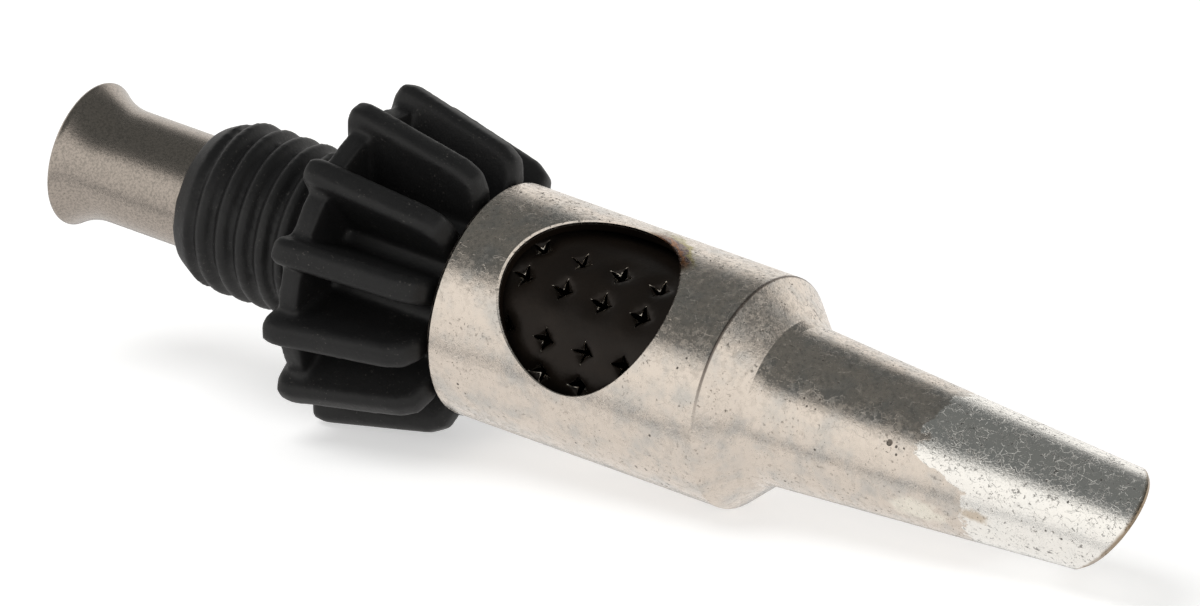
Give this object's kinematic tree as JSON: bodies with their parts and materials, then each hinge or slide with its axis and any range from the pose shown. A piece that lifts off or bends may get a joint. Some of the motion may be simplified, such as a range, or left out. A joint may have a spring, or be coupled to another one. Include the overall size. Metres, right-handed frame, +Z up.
{
  "type": "soldering iron tip",
  "caption": "Screw-in tip for a gas soldering iron: slant-cut bit, ported catalyst chamber, finned threaded collar and gas tube.",
  "frame": {"origin": "on the tip's own axis at the back face of the collar's web, where the threaded stub leaves the finned head", "axes": "+X runs forward towards the bit's end, dipped 6.2 degrees below level as the tip rests on a bench, +Y sideways, +Z up. The axis of every piece is (0.99415, 0, -0.10797)."},
  "size_m": [0.054, 0.0144, 0.0143],
  "materials": {
    "nickel_plate": "nickel-plated copper, worn, pitted and heat-stained, tinned towards the slanted end",
    "brass": "turned brass, dulled by heat",
    "dull_steel": "drilled steel plate, dulled by heat",
    "burnt_mesh": "pierced sheet blackened by use, with raw edges round the stars",
    "grained_tube": "drawn tube with a grainy, pinkish nickel finish",
    "black_plastic": "matte black heat-proof moulding with a little dust"
  },
  "bodies": {
    "root": {"soldering_bit": "nickel_plate", "chamber_bush": "brass", "diffuser_disc": "dull_steel", "catalyst_sleeve": "burnt_mesh", "inlet_tube": "grained_tube", "finned_collar": "black_plastic"}
  },
  "joints": []
}
